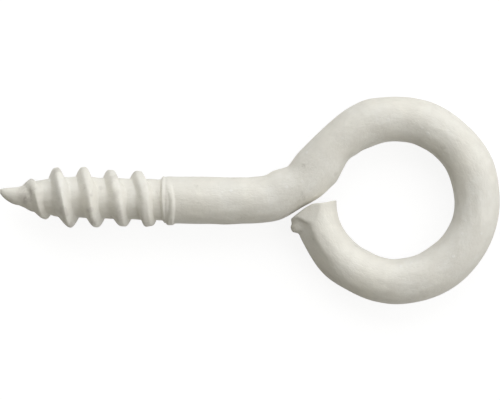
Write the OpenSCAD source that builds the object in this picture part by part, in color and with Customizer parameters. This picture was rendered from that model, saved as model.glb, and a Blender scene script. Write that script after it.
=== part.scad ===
// Screw eye: one length of coated steel wire with a gimlet-pointed wood thread on one end
// and the other end bent into an open ring.
// Millimetres. The origin is the centre of the eye, the eye lies in the XY plane and the screw
// points along -X.

/* [Wire] */
// Diameter of the wire round the eye, with its coating
wire_d = 3.92; // [3.2:0.02:4.8]
// Diameter of the shank where the thread ends
shank_d = 4.04; // [3.94:0.02:4.8]
// Length of plain shank between the thread and the bend
plain_len = 5.8; // [2:0.1:20]

/* [Eye] */
// Clear diameter inside the eye
eye_inner_d = 9.9; // [8:0.05:14]
// How far the centre of the eye lies to the +Y side of the screw axis
eye_offset = 0.35; // [0:0.05:1]

/* [Neck] */
// Turn of the first bend, where the neck leaves the shank
first_bend_angle = 25.5; // [22:0.5:30]
// Centreline radius of the first bend
first_bend_r = 6.3; // [4:0.1:9]
// Straight length between the two bends
between_bends = 1.5; // [0.5:0.1:2.5]
// Direction of the neck past the second bend, measured from the screw axis
neck_angle = 50; // [45:0.5:54]
// Centreline radius of the second bend
second_bend_r = 3.2; // [2.5:0.1:5]

/* [Cut end] */
// Direction of the flat cut face round the eye, counted from the tip side (-X) towards -Y
end_angle = 3; // [2:0.5:20]
// Gap between the sheared facet and the underside of the neck
end_gap = 0.15; // [0.1:0.05:1]
// Slope of the sheared facet, measured from the screw axis
facet_angle = 32; // [26:1:45]
// Slope of the bevel on the +Z side of the cut end, measured from the plane of the eye
bevel_slope = 27; // [15:1:40]
// Diameter of the bead of coating on the outer lip of the cut
bead_d = 1.35; // [0.6:0.05:1.4]
// Direction of the bead round the eye, counted as end_angle is
bead_angle = 16.5; // [12:0.5:20]

/* [Thread] */
// Distance from one thread crest to the next
pitch = 2.25; // [1.8:0.05:3]
// Length from the tip to the end of the thread's run-out
thread_len = 15.2; // [12:0.1:18]
// Diameter of the core between the crests
core_d = 3.48; // [2.6:0.02:3.7]
// Largest diameter over the crests
crest_d = 5.25; // [4.4:0.05:6]
// Diameter over the last full crest, next to the shoulder
last_crest_d = 4.62; // [4.2:0.02:5]
// Length of the point, from the tip to the full core
point_len = 5.3; // [4:0.1:7]
// Distance from the tip to where the ridge starts
ridge_start = 1.1; // [0.5:0.1:2]
// Distance from the tip to a crest on the +Y side
crest_at = 4.85; // [4:0.05:6]
// Distance from the shoulder of the shank to the end of the run-out
runout_len = 1.6; // [1.2:0.1:2.5]
// Length over which the shoulder rises from core to shank
shoulder_len = 0.3; // [0.2:0.05:0.8]

/* [Thread ridge] */
// Width of the rounded crest
crest_w = 0.3; // [0.1:0.05:0.6]
// Length of the flank on the tip side of the crest
lead_flank = 0.75; // [0.4:0.05:0.9]
// Length of the flank on the eye side of the crest
trail_flank = 0.6; // [0.3:0.05:0.8]

/* [Hidden] */
$fn = 96;

coating = "#e6e5de";

// Exponent of the point's outline: 1 would be a cone, and less is blunter
point_power = 0.6;
// Facets round the thread. A pitch holds as many rings, so a diagonal of every cell follows the helix
facets = 28;
// How far the thread's core runs on inside the shank, and how much slimmer it is there
root_depth = 0.4;
root_relief = 0.2;
// Length over which the ridge dies away on the +Y side, just before the shoulder
fade_len = 0.8;
// How far a straight length of wire runs on inside the next one, and how much fatter it is
lap = 0.1;
lap_swell = 0.02;

// Size of the blocks that cut the end, and how far the facet's block reaches inside the eye
cut_block = 2 * wire_d;
facet_reach = 0.6 * wire_d;

wire_r = wire_d / 2;
eye_r = (eye_inner_d + wire_d) / 2;
shoulder_at = thread_len - runout_len;

// The wire's centreline: shank, first bend, a short straight, second bend, straight neck, then the eye.
// The straight neck is as long as the rise from the screw axis to the start of the eye leaves it
function rise(r, from, to) = r * (cos(from) - cos(to));
function run(r, from, to) = r * (sin(to) - sin(from));
neck_rise = eye_r * cos(neck_angle) + eye_offset - rise(first_bend_r, 0, first_bend_angle)
    - between_bends * sin(first_bend_angle) - rise(second_bend_r, first_bend_angle, neck_angle);
neck_run = neck_rise / sin(neck_angle);
neck_start = [-eye_r * sin(neck_angle), eye_r * cos(neck_angle)] - neck_run * [cos(neck_angle), sin(neck_angle)];
second_centre = neck_start + second_bend_r * [-sin(neck_angle), cos(neck_angle)];
second_start = neck_start - [run(second_bend_r, first_bend_angle, neck_angle),
                             rise(second_bend_r, first_bend_angle, neck_angle)];
first_end = second_start - between_bends * [cos(first_bend_angle), sin(first_bend_angle)];
first_centre = first_end + first_bend_r * [-sin(first_bend_angle), cos(first_bend_angle)];
tip_x = first_centre[0] - plain_len - thread_len;
eye_sweep = 270 + neck_angle - end_angle;

// 0 up to a, 1 from b on, and an S-curve between them
function ramp(x, a, b) = let (t = max(0, min(1, (x - a) / (b - a)))) t * t * (3 - 2 * t);

// Radius of the core at a distance s from the tip: a power curve to the full core, then the shoulder
function core_r(s) =
    s < point_len ? core_d / 2 * pow(s / point_len, point_power)
    : core_d / 2 + (shank_d - core_d) / 2 * ramp(s, shoulder_at, shoulder_at + shoulder_len);

// Radius over the crests: it rises along the point, falls slowly to the shoulder and runs out on the shank
function crest_r(s) =
    let (full = crest_d / 2 - (crest_d - last_crest_d) / 2 * ramp(s, point_len, shoulder_at),
         risen = core_r(s) + (full - core_d / 2) * ramp(s, ridge_start, point_len))
    min(risen, full) + (shank_d / 2 - full) * ramp(s, shoulder_at - pitch / 2, thread_len);

// Share of the ridge's height at a distance u from the middle of its crest, along the axis
function ridge(u) =
    ramp(u, -crest_w / 2 - lead_flank, -crest_w / 2) * (1 - ramp(u, crest_w / 2, crest_w / 2 + trail_flank));

// Distance of s from the nearest crest at an angle round the axis, for a right-hand thread
function from_crest(s, angle) =
    let (turns = (s - crest_at) / pitch - angle / 360) (turns - round(turns)) * pitch;

// Share of the ridge that is left: all of it, but for the +Y side near the shoulder
function fading(s, angle) =
    1 - pow((1 + cos(angle)) / 2, 2) * ramp(s, shoulder_at - fade_len, shoulder_at);

function thread_r(s, angle) =
    core_r(s) + max(0, crest_r(s) - core_r(s)) * ridge(from_crest(s, angle)) * fading(s, angle);

// The threaded end is one skin over rings of points, from the tip to inside the shank
module threaded_end() {
    step = pitch / facets;
    rings = floor(thread_len / step);
    ring_s = [for (i = [1:rings]) i * step];
    buried = [[thread_len + root_depth, shank_d / 2 - root_relief]];
    skin = [
        for (s = ring_s) for (j = [0:facets - 1])
            let (angle = j * 360 / facets, r = thread_r(s, angle)) [s, r * cos(angle), r * sin(angle)],
        for (b = buried) for (j = [0:facets - 1])
            let (angle = j * 360 / facets) [b[0], b[1] * cos(angle), b[1] * sin(angle)]
    ];
    last = rings * facets;
    tip = len(skin);
    faces = [
        for (j = [0:facets - 1]) [tip, j, (j + 1) % facets],
        for (i = [0:rings - 1]) for (j = [0:facets - 1])
            let (a = i * facets + j, b = i * facets + (j + 1) % facets)
                each [[a, a + facets, b + facets], [a, b + facets, b]],
        [for (j = [0:facets - 1]) last + facets - 1 - j]
    ];
    translate([tip_x, -eye_offset, 0])
        polyhedron(points = concat(skin, [[0, 0, 0]]), faces = faces);
}

// Plain shank, which tapers very slightly from the thread to the bend
module shank() {
    translate([tip_x + thread_len - lap, -eye_offset, 0])
        rotate([0, 90, 0])
            cylinder(d1 = shank_d + lap_swell, d2 = wire_d + lap_swell, h = lap + plain_len + lap);
}

// A bend of the wire in the XY plane: centre, centreline radius, first direction and sweep
module wire_bend(centre, r, from, sweep) {
    translate([centre[0], centre[1], 0])
        rotate([0, 0, from])
            rotate_extrude(angle = sweep)
                translate([r, 0])
                    circle(d = wire_d);
}

// A straight length of wire in the XY plane, which laps the pieces at both its ends
module straight(from, angle, length) {
    translate([from[0], from[1], 0])
        rotate([0, 90, angle])
            translate([0, 0, -lap])
                cylinder(d = wire_d + lap_swell, h = lap + length + lap);
}

module neck() {
    wire_bend(first_centre, first_bend_r, -90, first_bend_angle);
    straight(first_end, first_bend_angle, between_bends);
    wire_bend(second_centre, second_bend_r, first_bend_angle - 90, neck_angle - first_bend_angle);
    straight(neck_start, neck_angle, neck_run);
}

// Block above the sheared facet, which stays end_gap clear of the neck's underside
module facet_cutter() {
    translate([second_centre[0], second_centre[1], 0])
        rotate([0, 0, facet_angle])
            translate([facet_reach - cut_block, -(second_bend_r + wire_r + end_gap), -cut_block / 2])
                cube(cut_block);
}

// Block above the bevel, which runs down from the front of the wire to its outer side
module bevel_cutter() {
    translate([-eye_r, -cut_block / 2, wire_r])
        rotate([0, -bevel_slope, 0])
            translate([-cut_block, 0, 0])
                cube(cut_block);
}

// The eye's ring, sheared off where it comes round to the neck, with a bead of coating on the lip
module eye() {
    difference() {
        wire_bend([0, 0], eye_r, 180 + end_angle, eye_sweep);
        facet_cutter();
        bevel_cutter();
    }
    rotate([0, 0, 180 + bead_angle])
        translate([eye_r + wire_r - bead_d / 6, 0, 0])
            sphere(d = bead_d);
}

module screw_eye() {
    color(coating) {
        threaded_end();
        shank();
        neck();
        eye();
    }
}

screw_eye();
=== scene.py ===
"""Screw eye: coated wire with a gimlet-pointed wood thread on one end, and the other end bent into an
open ring."""

import math

import bpy
import numpy as np
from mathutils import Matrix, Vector


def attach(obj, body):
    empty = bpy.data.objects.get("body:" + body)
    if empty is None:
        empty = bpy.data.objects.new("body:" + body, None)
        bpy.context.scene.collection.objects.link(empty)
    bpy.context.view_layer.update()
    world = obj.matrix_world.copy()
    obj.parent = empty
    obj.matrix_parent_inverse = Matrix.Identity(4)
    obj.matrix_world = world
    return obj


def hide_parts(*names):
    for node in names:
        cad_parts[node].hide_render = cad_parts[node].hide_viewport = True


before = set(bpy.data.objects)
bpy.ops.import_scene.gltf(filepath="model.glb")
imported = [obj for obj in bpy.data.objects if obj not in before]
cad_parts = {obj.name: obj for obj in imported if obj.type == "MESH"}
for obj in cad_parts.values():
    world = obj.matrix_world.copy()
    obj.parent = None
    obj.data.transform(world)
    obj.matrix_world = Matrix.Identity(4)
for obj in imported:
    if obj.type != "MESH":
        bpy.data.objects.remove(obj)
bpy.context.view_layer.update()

MM = 0.001

# ---- driving dimensions, in mm and degrees ----
# A place along the wire is its distance from the tip. A side of the wire is an angle round it, seen
# along the way from the tip: left, which is +Y on the shank and outside on the eye, then the front
# (+Z), then right.
LEFT, FRONT, RIGHT = 0, 90, 180

SHANK_HEADING = -0.57           # direction of the thread's axis in the plane of the eye
BENDS = {                       # where each bend starts, its length and its turn to the left
    "set at the shoulder": (13.6, 1.6, 1.26),
    "first neck bend": (21.23, 2.74, 24.95),
    "second neck bend": (25.43, 1.45, 25.84),
    "settling into the eye": (28.80, 0.43, -3.07),
}
EYE_START = 30.47               # where the wire enters the ring
EYE_R = 6.90                    # radius of the ring's centreline
END_DIRECTION = 183.0           # direction from the eye's centre in which the wire ends
WIRE_R = 1.915
SHANK_R = 2.00
SHANK_TAPER = (17.0, 26.0)      # the shank narrows to the wire between these places

PITCH = 2.245
CREST_AT = 5.03                 # place of a crest on the left side
POINT_LEN = 5.3                 # from the tip to the full core
POINT_POWER = 0.57              # exponent of the point's outline: 1 would be a cone
CORE_R = 1.735
SHOULDER = (13.70, 13.92)       # the core steps up to the shank between these places
SHOULDER_LATE = 0.25            # the step comes this much later on the right side
GROOVE = (14.17, 0.13, 0.045)   # groove behind the shoulder: place, half-width and depth
RUNOUT_END = 15.3
RUNOUT_NARROWER = 0.38          # share by which the ridge is narrower at the run-out
LEAD_FLANK = 0.79               # plain length of the flank on the tip side of a crest
TRAIL_FLANK = 0.61              # plain length of the flank on the eye side
CREST_FLATNESS = 2.3            # power that makes the crest round: the higher, the flatter
FLANK_HOLLOW = 1.35             # power that hollows the feet of the flanks
CREST_RADII = (                 # place, and radius over the crests there
    (0.0, 0.2), (1.0, 0.62), (1.69, 0.88), (2.79, 1.53), (3.9, 1.97), (4.45, 2.38),
    (5.04, 2.50), (6.1, 2.56), (7.3, 2.62), (8.3, 2.5), (9.6, 2.42), (10.6, 2.38),
    (12.06, 2.40), (13.2, 2.27), (13.9, 2.16), (14.8, 2.14), (15.3, 2.0),
)

SWAY, SWAY_RATE = 1.2, 0.37     # sway of the coat's waves in radians, and its rate in radians a mm

TIP_AT = 0.10                   # the blunt tip starts this far along
TIP_LIFT, TIP_LIFT_LEN = 0.26, 1.3      # the tip is bent to +Y by this much, over this length

# ---- how fine the mesh is ----
SIDES = 96
RINGS_PER_PITCH = 64
THREAD_RINGS_END = 15.6         # place up to which the rings are that close
PLAIN_RINGS = 384               # from the end of the thread to the last stretch
STRETCH_RINGS = 45              # over the last stretch, which ends at the cut
RIM_RINGS = 6
CAP_RINGS = 17


def smooth_step(x, a, b):
    """0 up to a, 1 from b on, and an S-curve between them."""
    t = np.clip((x - a) / (b - a), 0.0, 1.0)
    return t * t * (3.0 - 2.0 * t)


def hump(x, middle, half_width, power=2.0):
    """A bell of height 1 at middle: exp of minus the distance over half_width, raised to power."""
    return np.exp(-np.abs((x - middle) / half_width) ** power)


def side_distance(angle, side):
    """From a side of the wire to an angle round it in radians: -180 to 180 degrees."""
    return (np.degrees(angle) - side + 180.0) % 360.0 - 180.0


def soft_min(values, softness):
    """The least of several arrays, with the corner between them rounded over softness."""
    values = np.broadcast_arrays(*values)
    least = np.minimum.reduce(values)
    return least - softness * np.log(sum(np.exp(-(v - least) / softness) for v in values))


# ---- the wire's centreline ----
EYE_HEADING = SHANK_HEADING + sum(turn for _, _, turn in BENDS.values())
EYE_SWEEP = EYE_HEADING + 90.0 + 360.0 - END_DIRECTION
WIRE_LEN = EYE_START + EYE_R * math.radians(EYE_SWEEP)


def centreline():
    """Samples of the wire's centreline: its heading is the first heading plus each bend's share of its
    turn, its place is the running sum of the heading's cosine and sine, and it is then moved so that
    the centre of the eye is the origin. It runs on a little past the cut."""
    s = np.linspace(0.0, WIRE_LEN + 3.0, 14001)
    heading = np.full_like(s, SHANK_HEADING)
    for start, length, turn in BENDS.values():
        heading += turn * np.clip((s - start) / length, 0.0, 1.0)
    heading -= np.degrees(np.clip(s - EYE_START, 0.0, None) / EYE_R)
    heading = np.radians(heading)
    step = s[1] - s[0]
    x = np.concatenate([[0.0], np.cumsum((np.cos(heading[1:]) + np.cos(heading[:-1])) * step / 2)])
    y = np.concatenate([[0.0], np.cumsum((np.sin(heading[1:]) + np.sin(heading[:-1])) * step / 2)])
    into_eye = math.radians(EYE_HEADING)
    x += -EYE_R * math.sin(into_eye) - np.interp(EYE_START, s, x)
    y += EYE_R * math.cos(into_eye) - np.interp(EYE_START, s, y)
    return s, x, y, heading


PATH = centreline()


def along_wire(s):
    """Place and heading of the centreline at distances s from the tip."""
    at, x, y, heading = PATH
    return np.interp(s, at, x), np.interp(s, at, y), np.interp(s, at, heading)


# ---- the thread ----
def core_radius(s, angle):
    """A power curve from the tip to the full core, then the step up to the shank at the shoulder."""
    point = CORE_R * np.clip((s - TIP_AT) / (POINT_LEN - TIP_AT), 0.0, 1.0) ** POINT_POWER
    late = SHOULDER_LATE * np.clip(-np.cos(angle), 0.0, 1.0)
    return point + (SHANK_R - CORE_R) * smooth_step(s - late, *SHOULDER)


def crest_radius(s):
    """Radius over the crests: straight lines between the radii at a few places."""
    at, radius = zip(*CREST_RADII)
    return np.interp(s, at, radius)


def looks(angle):
    """How far an angle round the wire looks to the left, to the right and to the front, from 0 to 1."""
    left, right = np.cos(angle).clip(0), -np.cos(angle).clip(-1, 0)
    return left, right, hump(side_distance(angle, 95), 0, 60)


def long_rise(s, angle):
    """Share of the long easy rise from the valley to the crest that the full thread has in front."""
    full_thread = smooth_step(s, 3.0, 5.0) * (1 - smooth_step(s, 12.6, 13.4))
    return hump(side_distance(angle, 100), 0, 38) * full_thread


def flank_lengths(s, angle):
    """Lengths of a crest's flanks on the tip side and on the eye side: a plain length for each, and
    what the coat adds to it or takes from it at some sides and crests, all narrower at the run-out."""
    left, right, front = looks(angle)
    filled = hump(side_distance(angle, 68), 0, 36) * (1 - smooth_step(s, 12.6, 13.6))
    near_shank = smooth_step(s, 8.5, 12.0) * (1 - left)
    lead = (
        LEAD_FLANK
        - 0.06 * np.cos(angle)
        + 0.10 * hump(s, 5.6, 1.5) * (1 - np.cos(angle))            # long at the first full crest
        - 0.16 * front
        - (0.12 - 0.05 * smooth_step(s, 7.0, 9.0)) * left           # steepest on the point
        - 0.07 * (hump(s, 8.2, 0.8) + hump(s, 12.7, 0.8)) * right   # steep at the third and the last
        + 0.58 * long_rise(s, angle)
        + 0.12 * hump(side_distance(angle, 38), 0, 24) * smooth_step(s, 4.0, 6.0)   # easy shoulder
        - 0.14 * near_shank
    )
    trail = (
        TRAIL_FLANK
        - 0.05 * np.cos(angle)
        + 0.30 * filled
        - 0.06 * front
        - 0.08 * right
        - (0.01 + 0.12 * smooth_step(s, 5.5, 7.0) + 0.10 * hump(s, 2.9, 0.7)) * left
        + 0.06 * hump(s, 7.2, 0.8)                                  # long at the second full crest
        - 0.08 * hump(s, 3.9, 0.7) * right                          # steep at the crest on the point
        - 0.05 * near_shank
    )
    narrow = 1 - RUNOUT_NARROWER * smooth_step(s, 13.3, 14.0)
    return lead * narrow, trail * narrow


def ridge(from_crest, s, angle):
    """Share of the ridge's height at a distance from its crest along the wire: 1 minus a power of
    that distance over the length of its flank, and all of it to a second power. The first power is
    how flat the crest is, and the second how hollow the flanks' feet are."""
    left, right, front = looks(angle)
    tip_side = from_crest < 0
    across = np.abs(from_crest) / np.where(tip_side, *flank_lengths(s, angle))
    flatness = (
        CREST_FLATNESS
        + 0.9 * smooth_step(s, 5.0, 12.5)                           # blunter towards the shank
        + 1.0 * left
        + 1.6 * smooth_step(s, 10.0, 12.4) * right                  # the last ones are flat below
        - 0.7 * front                                               # keen in front
    )
    hollow = FLANK_HOLLOW + 0.8 * front + 0.9 * long_rise(s, angle) * tip_side
    return np.clip(1.0 - across ** flatness, 0.0, 1.0) ** hollow


def crest_distance(s, angle):
    """Distance along the wire from the nearest crest of a right-hand thread: the crest's place moves
    a pitch along for each turn round the wire. The crests lie a little early or late at some places,
    as rolled threads do."""
    left = (1.0 + np.cos(angle)) / 2
    early_left = (
        0.16 * (1 - smooth_step(s, 5.6, 8.8))                       # early at the point
        - 0.10 * smooth_step(s, 9.8, 12.4)                          # late at the shank
        + 0.10 * hump(s, 2.8, 0.9)                                  # the first two crests earlier still
        + 0.08 * hump(s, 4.8, 0.7)
    )
    early_right = (
        0.45 * smooth_step(s, 13.2, 14.2) * (1 - left) ** 4         # the run-out's end
        + 0.10 * hump(s, 3.9, 0.8) * (1 - left)                     # the crest on the point
    )
    late_front = 0.18 * hump(side_distance(angle, FRONT), 0, 50) * smooth_step(s, 8.5, 10.5)
    turns = (s + early_left * left - late_front + early_right - CREST_AT) / PITCH - angle / (2 * np.pi)
    return (turns - np.round(turns)) * PITCH


def thread_radius(s, angle):
    """The core plus the ridge, less the groove behind the shoulder. The ridge dies away on the left
    side just before the shoulder, and is worn a little lower between the left side and the front."""
    left = (1.0 + np.cos(angle)) / 2
    core = core_radius(s, angle)
    dying = 1 - left ** 2 * smooth_step(s, 13.0, 13.8)
    worn = 1 - 0.15 * hump(side_distance(angle, 60), 0, 36) * smooth_step(s, 5.0, 7.0)
    height = np.clip(crest_radius(s) - core, 0.0, None) * dying * worn
    groove_at, groove_width, groove_depth = GROOVE
    groove = groove_depth * hump(s, groove_at, groove_width)
    return core + height * ridge(crest_distance(s, angle), s, angle) - groove


# ---- the plain wire ----
def plain_radius(s):
    """Slightly thicker where it was the shank, down to the drawn wire at the first bend."""
    return SHANK_R + (WIRE_R - SHANK_R) * smooth_step(s, *SHANK_TAPER)


MARKS = {  # place along the wire, side, half-length in mm, half-spread in degrees, height in mm
    "blunt end of the point": (0.50, LEFT, 0.40, 60, 0.08),
    "flat on top of the point": (1.75, LEFT, 0.60, 60, -0.14),
    "nick under the point": (1.95, RIGHT, 0.35, 50, -0.12),
    "hollow behind the point": (2.3, 110, 0.40, 55, -0.06),
    "fill before the first crest": (2.95, RIGHT, 0.45, 50, 0.15),
    "thick coat under the shank": (19.3, RIGHT, 0.9, 50, 0.06),
    "thick coat over the shank": (20.6, LEFT, 0.6, 50, 0.04),
    "swelling over the first bend": (21.9, LEFT, 0.7, 60, 0.075),
    "thick coat under the bend": (23.3, RIGHT, 0.8, 50, 0.09),
    "fold over the neck": (24.3, LEFT, 0.55, 45, 0.09),
    "hollow beside the fold": (25.6, LEFT, 0.6, 45, -0.06),
    "hollow under the neck": (25.6, RIGHT, 0.9, 50, -0.12),
    "fill before the burr": (27.0, RIGHT, 0.6, 50, 0.06),
    "swelling over the second bend": (27.8, LEFT, 0.8, 50, 0.07),
    "burr before the jaw mark": (28.0, RIGHT, 0.65, 50, 0.15),
    "jaw mark under the neck": (30.25, RIGHT, 0.95, 55, -0.30),
    "flat at the start of the eye": (31.2, LEFT, 1.4, 60, -0.11),
    "end of the jaw mark": (31.9, RIGHT, 0.7, 50, -0.085),
    "thick coat after the flat": (34.2, LEFT, 0.7, 50, 0.08),
    "drawn thin over the eye": (36.5, LEFT, 0.8, 50, -0.04),
    "thick coat at the top of the eye": (38.8, LEFT, 0.7, 50, 0.05),
    "thick coat inside the top": (39.2, RIGHT, 0.8, 45, 0.03),
    "roller mark outside the eye": (41.1, LEFT, 1.1, 50, -0.075),
    "thick coat right of the eye": (44.4, LEFT, 1.2, 50, 0.08),
    "thick coat inside right": (45.2, RIGHT, 1.9, 45, 0.085),
    "roller mark inside the eye": (49.4, RIGHT, 1.3, 45, -0.05),
    "thick coat inside below": (53.6, RIGHT, 1.5, 45, 0.07),
    "thick coat outside below": (53.9, LEFT, 2.6, 55, 0.085),
    "thick coat outside left": (57.9, LEFT, 0.9, 55, 0.05),
    "drawn thin inside left": (58.2, RIGHT, 0.8, 45, -0.04),
    "drawn thin outside": (61.2, LEFT, 1.3, 60, -0.10),
    "thick coat inside left": (61.2, RIGHT, 0.7, 45, 0.05),
    "drawn thin near the cut": (65.2, LEFT, 1.7, 60, -0.125),
    "drawn thin inside the cut": (66.6, RIGHT, 2.4, 60, -0.125),
}


def marks(s, angle):
    """Sum of the tool marks and swellings, each a bell along the wire times a bell round it."""
    return sum(
        height * hump(s, place, length) * hump(side_distance(angle, side), 0.0, spread)
        for place, side, length, spread, height in MARKS.values()
    )


def waves(s, angle, seed, count, along, around, height):
    """Uneven thickness of the coat: a sum of sine waves with random phases, at rates along the wire
    in radians a mm and at whole numbers of waves round it, which sway slowly as they go."""
    rng = np.random.default_rng(seed)
    total = np.zeros(np.broadcast(s, angle).shape)
    for _ in range(count):
        rate, turns = rng.uniform(*along) * rng.choice([-1, 1]), rng.integers(around[0], around[1] + 1)
        phase, sway = rng.uniform(0, 2 * np.pi, 2)
        total += np.sin(rate * s + turns * angle + phase + SWAY * np.sin(SWAY_RATE * s + sway))
    return height * total / math.sqrt(count / 2)


def coat_unevenness(s, angle):
    """Lumps over the thread, slow swellings, and streaks that run along the wire."""
    lumps = waves(s, angle, seed=21, count=30, along=(1.2, 5.0), around=(0, 4), height=0.020)
    swellings = waves(s, angle, seed=4, count=20, along=(0.3, 1.6), around=(0, 3), height=0.010)
    streaks = waves(s, angle, seed=9, count=40, along=(0.2, 1.8), around=(4, 15), height=0.006)
    return lumps * (1 - smooth_step(s, 13.0, 14.5)) + swellings + streaks


# ---- the cut end ----
# Each face of the cut: the direction it looks in the plane of the eye, and its distance from the
# eye's centre
CUT_PLANES = ((94.4, 0.121), (119.0, 3.045), (129.7, 4.312))
LIP = 0.20                      # the inner corner of the cut is drawn up by this much
RIM_R = 0.10                    # radius of the rounded rim of the cut
STRETCH_LEN = 4.0               # over this length before the cut the rings stretch to its faces
BEVEL_NORMAL = (-0.49, 0.22, 0.8435)
BEVEL_DISTANCE = 4.586          # from the eye's centre to the plane of the bevel
BEVEL_REACH = (3.0, 4.2)        # the bevel fades out between these distances from the cut
ANVIL_SIDE = 38                 # side that the anvil's flat looks to
ANVIL_DISTANCE = 1.60           # from the centreline to the flat
ANVIL_REACH = (3.2, 6.8)        # the flat fades out between these distances from the cut
CREASE_SIDE = 40.0
CREASE_FROM_CUT = 1.20          # from the cut to the crease, at CREASE_SIDE
CREASE_SLANT = 0.42             # it is this much farther from the cut,
CREASE_SPREAD = 32.0            # this many degrees farther round the wire
CREASE_HALF_WIDTH = 0.22
# Each lobe of the bead: its direction from the eye's centre, its side, its half-length along the
# wire in mm, its half-spread round it in degrees, and its height in mm
BEAD_LOBES = ((192.0, -4, 0.25, 30, 0.30), (196.7, -10, 0.33, 32, 0.50))
FAR = 9.0                       # farther from the centreline than any part of the wire's surface


def arc_length(direction):
    """Distance from the tip of a place on the eye in a direction from its centre, in degrees."""
    return EYE_START + EYE_R * np.radians(EYE_HEADING + 90.0 + 360.0 - direction)


def cut_at(out):
    """Where a line along the wire, at a distance out from its centreline, meets the cut: the least of
    the places where it meets each face, with a lip drawn up at the inner corner."""
    meets = [
        arc_length(direction + np.degrees(np.arccos(np.clip(distance / (EYE_R + out), -1, 1))))
        for direction, distance in CUT_PLANES
    ]
    return soft_min(meets, softness=0.06) + LIP * smooth_step(-out, 0.6, 2.0)


def pressed_flat(s, angle, radius):
    """The lesser of the radius and the flat that the shear's anvil pressed, which is the flat's
    distance over the cosine of the angle to it. The flat starts at a crease, which lies farther from
    the cut towards the front of the wire."""
    from_cut = WIRE_LEN - s
    round_side = (side_distance(angle, LEFT) - CREASE_SIDE) / CREASE_SPREAD
    crease = CREASE_FROM_CUT + CREASE_SLANT * np.clip(round_side, -0.3, 1.3)
    started = smooth_step(from_cut, crease - CREASE_HALF_WIDTH, crease + CREASE_HALF_WIDTH)
    pressed = started * (1 - smooth_step(from_cut, *ANVIL_REACH))
    toward = np.cos(np.radians(side_distance(angle, ANVIL_SIDE)))
    flat = np.where(toward > 0.3, ANVIL_DISTANCE / np.maximum(toward, 0.3), FAR)
    return radius + pressed * (soft_min([radius, np.minimum(flat, FAR)], softness=0.03) - radius)


def bevelled(s, angle, radius):
    """The lesser of the radius and the distance out to the plane of the bevel, which is the plane's
    distance from the centreline over the cosine of the slant between them."""
    x, y, heading = along_wire(s)
    normal_x, normal_y, normal_z = BEVEL_NORMAL
    to_plane = BEVEL_DISTANCE - normal_x * x - normal_y * y
    sideways = normal_y * np.cos(heading) - normal_x * np.sin(heading)
    slant = sideways * np.cos(angle) + normal_z * np.sin(angle)
    plane = np.where(slant > 0.2, to_plane / np.maximum(slant, 0.2), FAR)
    near = 1 - smooth_step(WIRE_LEN - s, *BEVEL_REACH)
    return radius + near * (soft_min([radius, np.minimum(plane, FAR)], softness=0.04) - radius)


def bead(s, angle):
    """Beads of coating that ran to the outer lip of the cut and hardened there: square-shouldered
    bells along the wire and round it."""
    return sum(
        height * hump(s, arc_length(direction), length, power=4)
        * hump(side_distance(angle, side), 0, spread, power=3)
        for direction, side, length, spread, height in BEAD_LOBES
    )


# ---- the whole surface ----
def wire_radius(s, angle):
    """Radius of the coated wire at a distance from the tip and an angle round it: the thread or the
    plain wire, its marks, the uneven coat from the point on, the two flats at the cut and the bead."""
    radius = np.where(s < RUNOUT_END, thread_radius(s, angle), plain_radius(s)) + marks(s, angle)
    radius = radius + smooth_step(s, 0.3, 3.0) * coat_unevenness(s, angle)
    return bevelled(s, angle, pressed_flat(s, angle, radius)) + bead(s, angle)


def shares(count):
    """Even steps from 0, which is left out, to 1, one to a ring."""
    return np.linspace(0, 1, count + 1)[1:, None]


def wire_surface():
    """Grid of the surface's points, its two poles, and each point's place on the straight wire. Rings
    stand square to the centreline; before the cut they stretch to its faces, turn over a rounded rim
    and shrink to a pole, and at the tip they grow from a pole."""
    angle = np.arange(SIDES) * 2 * np.pi / SIDES
    tip = TIP_AT + np.array([0.003, 0.010, 0.022])      # the first rings lie close round the pole
    step = PITCH / RINGS_PER_PITCH
    thread = TIP_AT + step * np.arange(1, int((THREAD_RINGS_END - TIP_AT) / step))
    stretch_from = WIRE_LEN - STRETCH_LEN
    plain = np.linspace(thread[-1], stretch_from, PLAIN_RINGS + 1)[1:]
    square = np.repeat(np.concatenate([tip, thread, plain])[:, None], SIDES, 1)

    # the cut's place and the radius there depend on each other, and a few rounds settle both
    cut_s = np.full(SIDES, WIRE_LEN)
    for _ in range(6):
        cut_r = wire_radius(cut_s, angle)
        cut_s = cut_at(cut_r * np.cos(angle))
    stretched = stretch_from + shares(STRETCH_RINGS) * (cut_s - RIM_R - stretch_from)
    turn = shares(RIM_RINGS) * np.pi / 2
    rim_r = cut_r - RIM_R * (1 - np.cos(turn))
    rim = cut_at(rim_r * np.cos(angle)) - RIM_R * (1 - np.sin(turn))
    cap_r = (cut_r - RIM_R) * np.linspace(1, 0, CAP_RINGS + 2)[1:-1, None]
    cap = cut_at(cap_r * np.cos(angle))

    s = np.concatenate([square, stretched, rim, cap])
    r = np.concatenate([wire_radius(square, angle), wire_radius(stretched, angle), rim_r, cap_r])
    x, y, heading = along_wire(s)
    lift = TIP_LIFT * np.clip(1 - s / TIP_LIFT_LEN, 0, 1) ** 2
    grid = np.stack([
        x - np.sin(heading) * r * np.cos(angle),
        y + np.cos(heading) * r * np.cos(angle) + lift,
        r * np.sin(angle),
    ], -1)
    tip_x, tip_y, _ = along_wire(TIP_AT)
    end_x, end_y, _ = along_wire(cut_at(0.0))
    poles = np.array([[tip_x, tip_y + TIP_LIFT, 0.0], [end_x, end_y, 0.0]])
    straight = np.stack([s, r * np.cos(angle), r * np.sin(angle)], -1).reshape(-1, 3)
    straight_poles = [(0.0, 0.0, 0.0), (WIRE_LEN, 0.0, 0.0)]
    return grid, poles, np.concatenate([straight, straight_poles])


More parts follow.
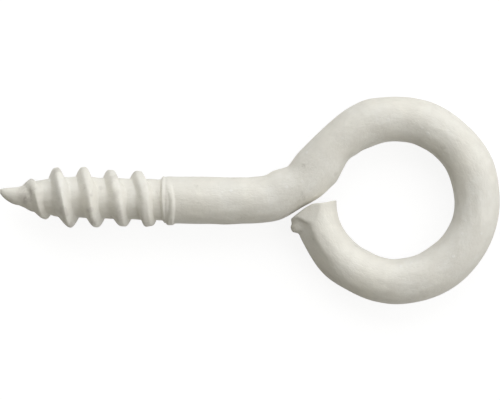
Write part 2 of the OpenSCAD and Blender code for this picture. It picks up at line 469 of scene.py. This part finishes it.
def skin(name, grid, poles, straight):
    """A closed mesh over a grid of rings with a pole at each end, its faces looking outwards. Each
    point also keeps its place on the straight wire: distance from the tip, and across the wire."""
    rings, sides = grid.shape[:2]
    points = np.concatenate([grid.reshape(-1, 3), poles]) * MM
    i, j = np.meshgrid(np.arange(rings - 1), np.arange(sides), indexing="ij")
    k = (j + 1) % sides
    corners = [i * sides + j, i * sides + k, (i + 1) * sides + k, (i + 1) * sides + j]
    quads = np.stack(corners, -1).reshape(-1, 4)
    a, b = np.arange(sides), (np.arange(sides) + 1) % sides
    tip, end = rings * sides, rings * sides + 1
    tip_fan = np.stack([np.full(sides, tip), b, a], -1)
    end_fan = np.stack([(rings - 1) * sides + a, (rings - 1) * sides + b, np.full(sides, end)], -1)
    mesh = bpy.data.meshes.new(name)
    mesh.from_pydata(points.tolist(), [], quads.tolist() + tip_fan.tolist() + end_fan.tolist())
    mesh.polygons.foreach_set("use_smooth", np.ones(len(mesh.polygons), bool))
    places = mesh.attributes.new("straight_wire", "FLOAT_VECTOR", "POINT")
    places.data.foreach_set("vector", straight.astype(np.float32).ravel())
    mesh.update()
    piece = bpy.data.objects.new(name, mesh)
    bpy.context.scene.collection.objects.link(piece)
    return piece


# ---- materials ----
class Socket:
    """One output of a shader node, which plain sums on it turn into Math nodes."""

    def __init__(self, finish, socket):
        self.finish, self.socket = finish, socket

    def _math(self, operation, *inputs):
        return self.finish.node("ShaderNodeMath", {"operation": operation}, inputs)

    def __add__(self, other):
        return self._math("ADD", self, other)

    def __sub__(self, other):
        return self._math("SUBTRACT", self, other)

    def __rsub__(self, other):
        return self._math("SUBTRACT", other, self)

    def __mul__(self, other):
        return self._math("MULTIPLY", self, other)

    __radd__, __rmul__ = __add__, __mul__

    def between(self, low, high):
        """0 at low and under, 1 at high and over, and an S-curve between them."""
        return self.finish.node("ShaderNodeMapRange", {"interpolation_type": "SMOOTHSTEP"},
                                {"Value": self, "From Min": low, "From Max": high})


class Finish:
    """The nodes of a material, or of the studio's light."""

    def __init__(self, owner):
        owner.use_nodes = True
        self.owner, self.tree = owner, owner.node_tree
        self.tree.nodes.clear()

    def node(self, kind, settings=None, sockets=(), output=0):
        """Adds a node of a kind: its settings first, then its sockets' values or links."""
        made = self.tree.nodes.new(kind)
        for setting, value in (settings or {}).items():
            setattr(made, setting, value)
        pairs = sockets.items() if isinstance(sockets, dict) else enumerate(sockets)
        for key, value in pairs:
            if isinstance(value, Socket):
                self.tree.links.new(value.socket, made.inputs[key])
            else:
                made.inputs[key].default_value = value
        return Socket(self, made.outputs[output]) if made.outputs else None

    def mix_colour(self, share, a, b):
        """Colour a, and b in its place by share. Sockets 6, 7 and 2 are the node's colour ones."""
        return self.node("ShaderNodeMix", {"data_type": "RGBA"}, {0: share, 6: a, 7: b}, output=2)

    def noise(self, where, scale, detail, roughness=0.5, distortion=0.0):
        """Soft random pattern from 0 to 1; scale is in features a metre, or for one unit of where."""
        return self.node("ShaderNodeTexNoise", {}, {"Vector": where, "Scale": scale, "Detail": detail,
                                                    "Roughness": roughness, "Distortion": distortion})

    def specks(self, where, scale, dot, soft_edge):
        """Scattered round specks: 1 inside a dot's radius and 0 past its soft edge, in spacings."""
        cells = self.node("ShaderNodeTexVoronoi", {"feature": "F1"}, {"Vector": where, "Scale": scale})
        return 1 - cells.between(dot, soft_edge)

    def seen(self):
        """1 for the rays that come from the camera, straight or by way of gloss or glass."""
        camera, gloss, glass = [
            self.node("ShaderNodeLightPath", output=ray)
            for ray in ("Is Camera Ray", "Is Glossy Ray", "Is Transmission Ray")
        ]
        return camera + gloss + glass

    def seen_or_lighting(self, bright, lighting):
        """One shader for the rays that are seen, and another for those that only carry light."""
        return self.node("ShaderNodeMixShader", {}, {0: self.seen(), 1: lighting, 2: bright})


WARM_WHITE = (0.829, 0.804, 0.727, 1)
COOL_WHITE = (0.816, 0.802, 0.748, 1)
STREAK_TINT = (0.752, 0.729, 0.664, 1)
PATCH_TINT = (0.756, 0.732, 0.668, 1)
PIT_TINT = (0.55, 0.53, 0.47, 1)
SCUFF_TINT = (0.45, 0.42, 0.38, 1)
NICK_TINT = (0.88, 0.87, 0.84, 1)
WHITE = (1, 1, 1, 1)
WORN_SPOT = (2.25, 0.25, 1.0)   # its place on the straight wire, in mm: from the tip, to the left, in front
COAT_RELIEF = 0.034 * MM        # depth of the coat's fine relief


def white_coat():
    """Thick off-white satin paint: slight changes of tint, uneven streaks along the wire, mottling and
    orange peel, here and there a pit or a pale nick, and dull scuffs on the highest crests, on the
    point and at one worn spot behind it."""
    coat = Finish(bpy.data.materials.new("white_coat"))
    where = coat.node("ShaderNodeTexCoord", output="Object")
    straight = coat.node("ShaderNodeAttribute", {"attribute_name": "straight_wire"}, output="Vector")

    def stretched(along, across):
        """The place on the straight wire, in features along it and across it for each mm."""
        return coat.node("ShaderNodeVectorMath", {"operation": "MULTIPLY"},
                         {0: straight, 1: (along, across, across)})

    broad = coat.noise(where, 260.0, 2.0)
    patch = coat.noise(where, 900.0, 3.0)
    peel = coat.noise(where, 2600.0, 2.0)
    mottle = coat.noise(where, 1900.0, 3.0, 0.6).between(0.40, 0.62)
    streak = coat.noise(stretched(1.05, 2.1), 1.0, 4.0, 0.62, 1.0)
    fibre = coat.noise(stretched(3.0, 5.6), 1.0, 2.0, 0.6, 0.6)
    pit = coat.specks(where, 620.0, 0.10, 0.20) * patch.between(0.5, 0.65)
    nick = coat.specks(where, 900.0, 0.09, 0.16) * broad.between(0.5, 0.6)

    from_tip = coat.node("ShaderNodeSeparateXYZ", {}, (straight,), output="X")
    from_middle = coat.node("ShaderNodeVectorMath", {"operation": "LENGTH"},
                            {0: stretched(0.0, 1.0)}, output="Value")
    from_spot = coat.node("ShaderNodeVectorMath", {"operation": "DISTANCE"},
                          {0: straight, 1: WORN_SPOT}, output="Value")
    rubbed = from_middle.between(2.18, 2.42) * 0.7 + (1 - from_tip.between(2.2, 4.2))
    worn = (1 - from_spot.between(0.35, 1.15)) * (0.35 + mottle)
    scuff = rubbed * patch.between(0.50, 0.60) + worn

    tint = coat.mix_colour(broad.between(0.3, 0.7), WARM_WHITE, COOL_WHITE)
    tint = coat.mix_colour(streak.between(0.35, 0.75) * 0.5, tint, STREAK_TINT)
    tint = coat.mix_colour(patch.between(0.38, 0.60) * 0.55, tint, PATCH_TINT)
    tint = coat.mix_colour(pit * 0.35, tint, PIT_TINT)
    tint = coat.mix_colour(scuff * 0.45, tint, SCUFF_TINT)
    tint = coat.mix_colour(nick * 0.5, tint, NICK_TINT)
    rough = 0.46 + 0.16 * streak
    height = 0.80 * streak + 0.90 * fibre + 1.3 * patch + 0.4 * peel - 0.5 * pit + 0.3 * nick
    bump = coat.node("ShaderNodeBump", {}, {"Strength": 1.0, "Distance": COAT_RELIEF, "Height": height})
    shader = coat.node("ShaderNodeBsdfPrincipled", {},
                       {"Base Color": tint, "Roughness": rough, "Normal": bump, "IOR": 1.42})
    coat.node("ShaderNodeOutputMaterial", {}, {"Surface": shader})
    return coat.owner


def pale_floor():
    """White to the camera and in reflections, with the object's soft shadow, and a pale grey that
    throws a little light back up at the object."""
    floor = Finish(bpy.data.materials.new("pale_floor"))
    glow = floor.node("ShaderNodeEmission", {}, {"Color": WHITE, "Strength": 0.87})
    paper = floor.node("ShaderNodeBsdfDiffuse", {}, {"Color": (0.23, 0.23, 0.23, 1)})
    lit = floor.node("ShaderNodeAddShader", {}, (glow, paper))
    plain = floor.node("ShaderNodeBsdfDiffuse", {}, {"Color": (0.24, 0.23, 0.20, 1)})
    floor.node("ShaderNodeOutputMaterial", {}, {"Surface": floor.seen_or_lighting(lit, plain)})
    return floor.owner


def studio_light():
    """White to the camera and in reflections, and a dim warm light from all round."""
    studio = Finish(bpy.data.worlds.new("studio"))
    warm = studio.node("ShaderNodeBackground", {}, {"Color": (1.0, 0.965, 0.85, 1), "Strength": 0.265})
    white = studio.node("ShaderNodeBackground", {}, {"Color": WHITE, "Strength": 1.0})
    studio.node("ShaderNodeOutputWorld", {}, {"Surface": studio.seen_or_lighting(white, warm)})
    return studio.owner


# ---- the piece ----
screw_eye = skin("coated_screw_eye", *wire_surface())
screw_eye.data.materials.append(white_coat())
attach(screw_eye, "root")
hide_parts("screw_eye")

# ---- the floor: it touches the largest crest and the far side of the eye, each given as x and z ----
LOW_CREST, LOW_EYE = (-26.5, -2.62), (6.9, -1.96)
HALF_TABLE = 400.0
slope = (LOW_EYE[1] - LOW_CREST[1]) / (LOW_EYE[0] - LOW_CREST[0])
table_corners = [
    (x * MM, y * MM, (LOW_CREST[1] + slope * (x - LOW_CREST[0])) * MM)
    for x, y in ((-HALF_TABLE, -HALF_TABLE), (HALF_TABLE, -HALF_TABLE),
                 (HALF_TABLE, HALF_TABLE), (-HALF_TABLE, HALF_TABLE))
]
table_mesh = bpy.data.meshes.new("table_top")
table_mesh.from_pydata(table_corners, [], [(0, 1, 2, 3)])
table_mesh.materials.append(pale_floor())
table_top = bpy.data.objects.new("table_top", table_mesh)
bpy.context.scene.collection.objects.link(table_top)


# ---- light ----
def lamp(name, toward, strength, spread, colour):
    """A far soft lamp that shines from a direction, with its apparent size in degrees."""
    light = bpy.data.lights.new(name, "SUN")
    light.energy, light.angle, light.color = strength, math.radians(spread), colour
    holder = bpy.data.objects.new(name, light)
    holder.rotation_euler = Vector(toward).to_track_quat("Z", "Y").to_euler()
    bpy.context.scene.collection.objects.link(holder)


lamp("lamp_over_the_top", (0.0, 0.93, 0.37), 2.33, 85, (0.948, 0.968, 1.0))
lamp("lamp_on_the_right", (0.93, 0.0, 0.37), 1.83, 85, (0.972, 0.980, 1.0))
bpy.context.scene.world = studio_light()

# ---- camera: it looks straight down ----
VIEW_ROLL = 1.2                 # turn about the line of sight, in degrees
VIEW_WIDTH = 42.5               # width of the view at the height of the wire's centre, in mm
VIEW_CENTRE = (-12.41, -0.26)
camera = bpy.data.cameras.new("camera")
camera.lens, camera.sensor_width = 300.0, 36.0
camera.clip_start, camera.clip_end = 0.01, 10.0
camera_stand = bpy.data.objects.new("camera", camera)
camera_stand.location = Vector((*VIEW_CENTRE, VIEW_WIDTH * camera.lens / camera.sensor_width)) * MM
camera_stand.rotation_euler = (0.0, 0.0, math.radians(VIEW_ROLL))
bpy.context.scene.collection.objects.link(camera_stand)
bpy.context.scene.camera = camera_stand

bpy.context.scene.view_settings.view_transform = "Standard"
